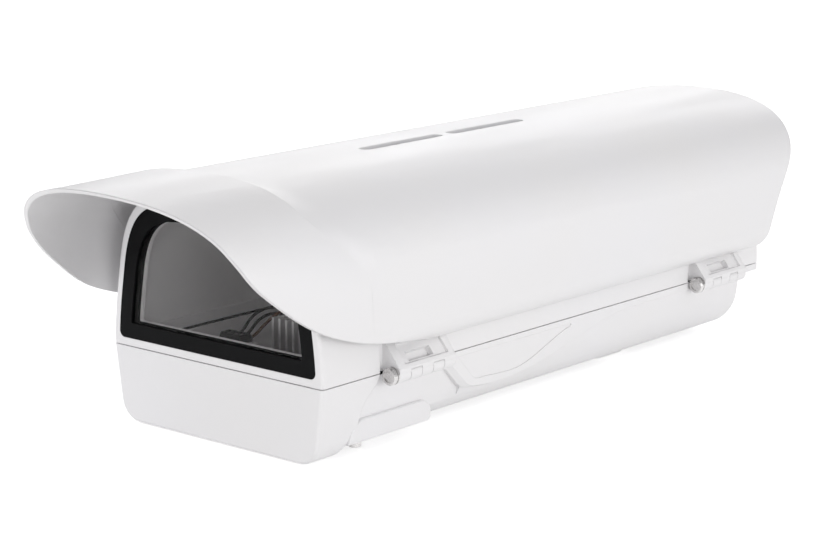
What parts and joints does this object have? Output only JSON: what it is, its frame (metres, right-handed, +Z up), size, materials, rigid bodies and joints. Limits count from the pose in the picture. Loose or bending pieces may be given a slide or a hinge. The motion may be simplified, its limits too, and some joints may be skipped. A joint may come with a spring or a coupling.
{
  "type": "security camera housing",
  "caption": "Outdoor housing for a fixed camera: arched cover hinged to a deep-chinned tray, framed flat window, long sliding sunshield with a flared visor, threaded mounting face.",
  "frame": {"origin": "centre of the bracket hole pattern, on the underside that the housing stands on", "axes": "+Z up, away from the mounting face; +Y from the window to the rear; +X towards the hinged side"},
  "size_m": [0.1792, 0.53, 0.1455],
  "materials": {
    "white_plastic": "fine satin moulded plastic",
    "grey_plastic": "light grey moulded plastic",
    "black_plastic": "black moulded plastic",
    "brown_plastic": "brown wire insulation",
    "black_rubber": "smooth black rubber",
    "window_glass": "clear float glass",
    "stainless": "turned stainless steel",
    "aluminium": "mill-finish aluminium",
    "brass": "turned brass"
  },
  "bodies": {
    "base": {"base_shell": "white_plastic", "lid_gasket": "black_rubber", "foot_screws": "stainless", "bracket_inserts": "brass", "camera_plate": "aluminium", "plate_screws": "stainless", "camera_screw": "stainless", "terminal_bracket": "aluminium", "bracket_screws": "stainless", "terminal_block": "black_plastic", "terminal_screws": "stainless", "heater": "aluminium", "heater_screws": "stainless", "hinge_pin_front": "stainless", "hinge_pin_rear": "stainless", "latch_screw_front": "stainless", "latch_screw_rear": "stainless", "gland_body_left": "grey_plastic", "gland_seal_left": "black_rubber", "gland_cap_left": "grey_plastic", "gland_nut_left": "grey_plastic", "gland_body_right": "grey_plastic", "gland_seal_right": "black_rubber", "gland_cap_right": "grey_plastic", "gland_nut_right": "grey_plastic", "wire_black_left": "black_plastic", "wire_black_right": "black_plastic", "wire_brown": "brown_plastic"},
    "lid": {"lid_shell": "white_plastic", "window_seal": "black_rubber", "window_glass": "window_glass", "shield_screws": "stainless"},
    "sunshield": {"sunshield": "white_plastic"}
  },
  "joints": [
    {"name": "lid_hinge", "type": "hinge", "parent": "base", "child": "lid", "pos_m": [0.082, 0, 0.041], "axis": [0, 1, 0], "range_deg": [0, 100]},
    {"name": "sunshield_slide", "type": "slide", "parent": "lid", "child": "sunshield", "axis": [0, 1, 0], "range_m": [-0.029, 0.029]}
  ]
}
